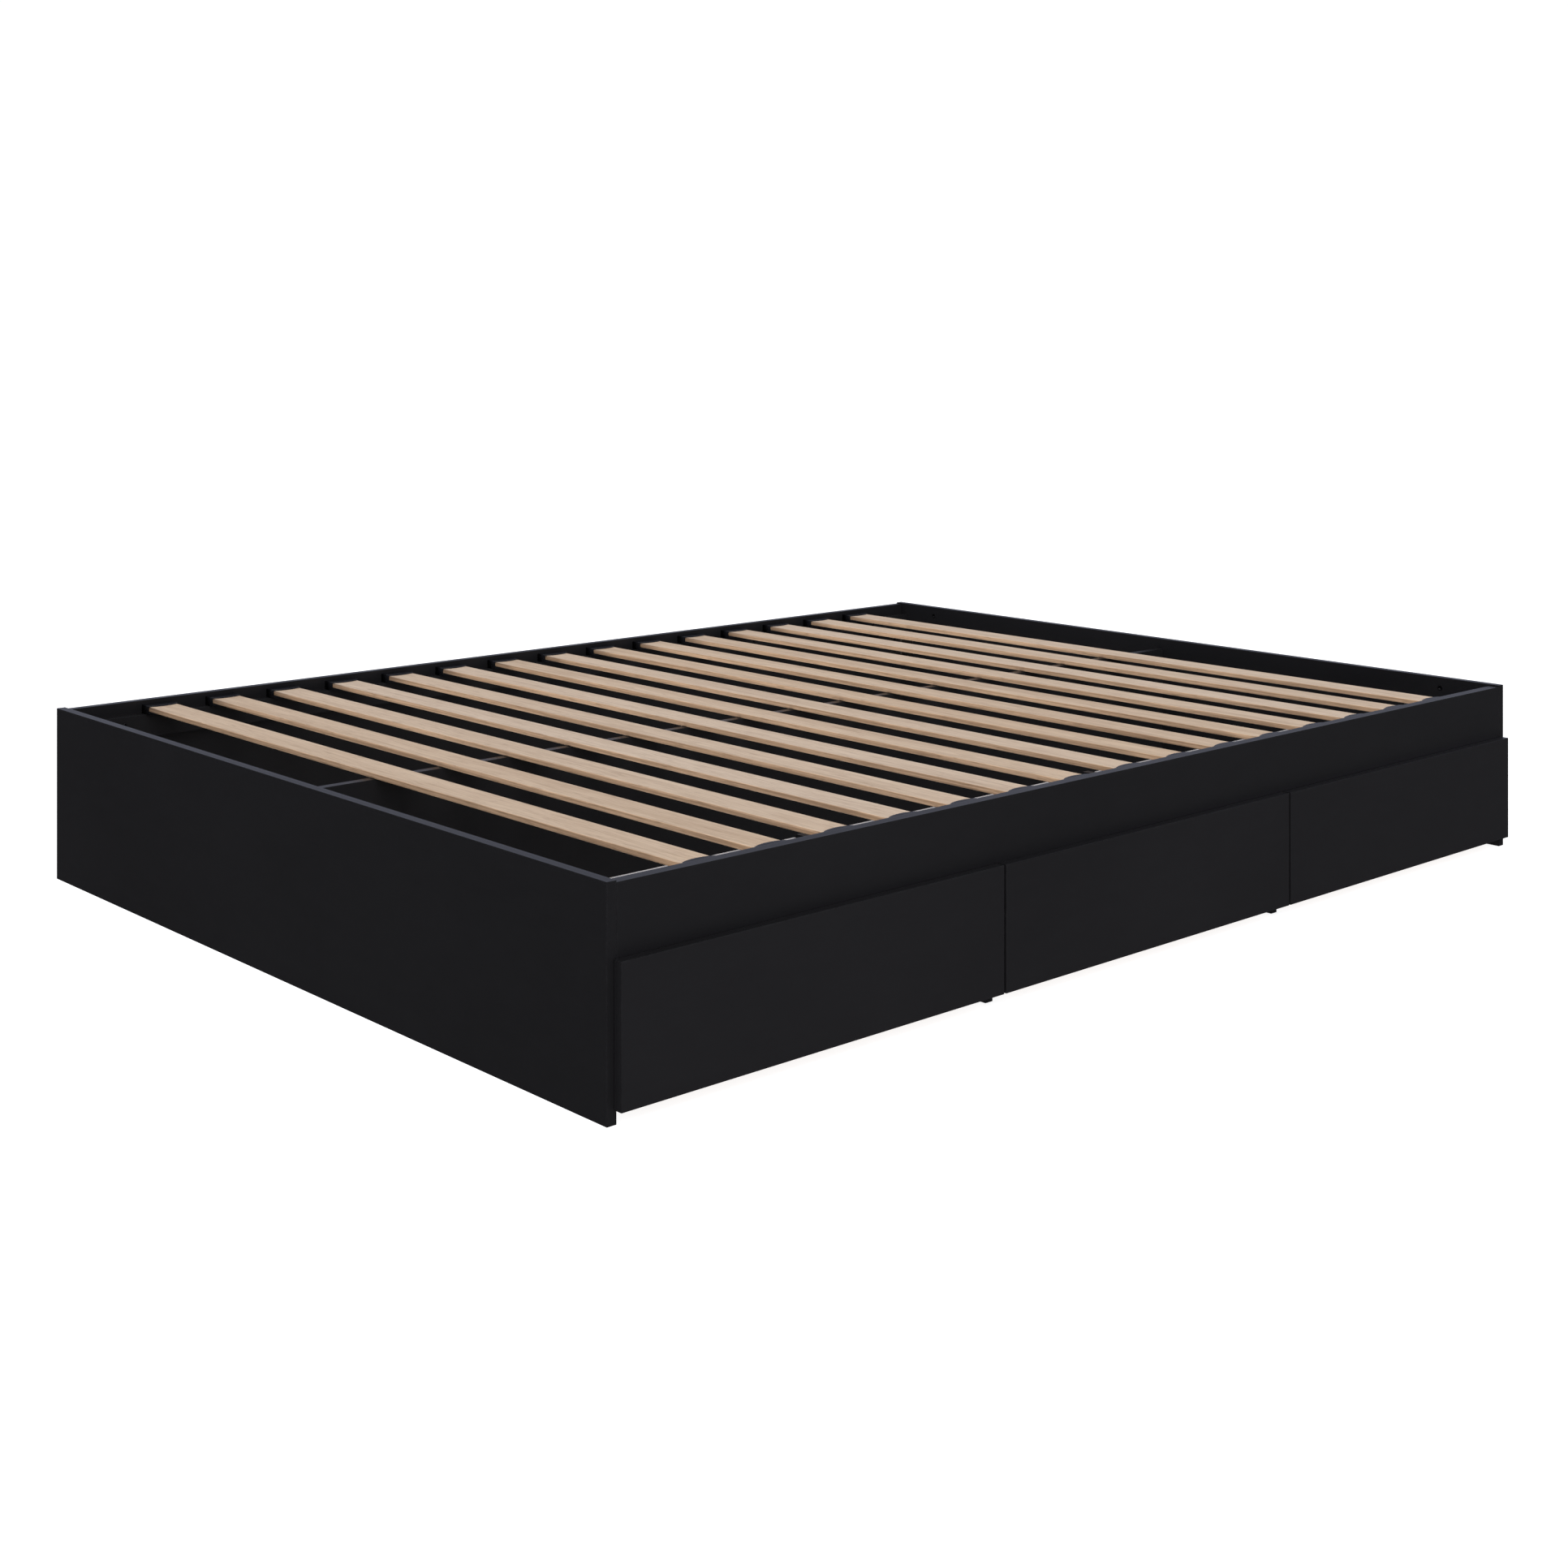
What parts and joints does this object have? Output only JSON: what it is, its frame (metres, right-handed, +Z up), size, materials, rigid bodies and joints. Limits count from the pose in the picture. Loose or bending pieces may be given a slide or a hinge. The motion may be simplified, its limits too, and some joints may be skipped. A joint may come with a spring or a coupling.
{
  "type": "platform bed with storage drawers",
  "caption": "Low platform bed frame in black board with pull-out storage drawers under one long side and a bed base of curved-edge wooden slats held in black plastic caps.",
  "frame": {"origin": "on the floor, under the middle of the bed's outer box with the drawers closed", "axes": "+X from the foot panel to the head panel, +Y away from the drawers, +Z up"},
  "size_m": [2.08, 1.578, 0.296],
  "materials": {
    "black_board": "black foil-faced board, satin, fine embossed pores, matching edge band",
    "drawer_front": "black foil-faced board, satin, edge banded all round",
    "drawer_board": "white melamine-faced board, matt",
    "slat_wood": "pale laminated beech or birch, fine lengthwise grain, clear matt lacquer",
    "black_plastic": "injection-moulded black plastic, fine texture",
    "zinc_steel": "bright zinc-plated rolled steel",
    "dark_steel": "dark zinc-plated pressed steel"
  },
  "bodies": {
    "frame": {"foot_panel": "black_board", "head_panel": "black_board", "front_rail": "black_board", "side_panel": "black_board", "centre_beam": "black_board", "ledger_front": "black_board", "ledger_back": "black_board", "rear_tie": "black_board", "divider_1": "black_board", "divider_2": "black_board", "headboard_insert_1": "dark_steel", "headboard_insert_2": "dark_steel", "bracket_foot_front": "dark_steel", "bracket_foot_back": "dark_steel", "bracket_head_front": "dark_steel", "bracket_head_back": "dark_steel", "slat_01": "slat_wood", "slat_02": "slat_wood", "slat_03": "slat_wood", "slat_04": "slat_wood", "slat_05": "slat_wood", "slat_06": "slat_wood", "slat_07": "slat_wood", "slat_08": "slat_wood", "slat_09": "slat_wood", "slat_10": "slat_wood", "slat_11": "slat_wood", "slat_12": "slat_wood", "slat_13": "slat_wood", "slat_14": "slat_wood", "slat_15": "slat_wood", "slat_holders_front": "black_plastic", "slat_holders_back": "black_plastic", "slide_1_left_cabinet": "zinc_steel", "slide_1_right_cabinet": "zinc_steel", "slide_2_left_cabinet": "zinc_steel", "slide_2_right_cabinet": "zinc_steel", "slide_3_left_cabinet": "zinc_steel", "slide_3_right_cabinet": "zinc_steel"},
    "drawer_1": {"drawer_1_front": "drawer_front", "drawer_1_side_left": "drawer_board", "drawer_1_side_right": "drawer_board", "drawer_1_back": "drawer_board", "drawer_1_bottom": "drawer_board", "slide_1_left_drawer": "zinc_steel", "slide_1_right_drawer": "zinc_steel"},
    "drawer_2": {"drawer_2_front": "drawer_front", "drawer_2_side_left": "drawer_board", "drawer_2_side_right": "drawer_board", "drawer_2_back": "drawer_board", "drawer_2_bottom": "drawer_board", "slide_2_left_drawer": "zinc_steel", "slide_2_right_drawer": "zinc_steel"},
    "drawer_3": {"drawer_3_front": "drawer_front", "drawer_3_side_left": "drawer_board", "drawer_3_side_right": "drawer_board", "drawer_3_back": "drawer_board", "drawer_3_bottom": "drawer_board", "slide_3_left_drawer": "zinc_steel", "slide_3_right_drawer": "zinc_steel"}
  },
  "joints": [
    {"name": "drawer_1_slide", "type": "slide", "parent": "frame", "child": "drawer_1", "axis": [0, -1, 0], "range_m": [0, 0.28]},
    {"name": "drawer_2_slide", "type": "slide", "parent": "frame", "child": "drawer_2", "axis": [0, -1, 0], "range_m": [0, 0.28]},
    {"name": "drawer_3_slide", "type": "slide", "parent": "frame", "child": "drawer_3", "axis": [0, -1, 0], "range_m": [0, 0.28]}
  ]
}
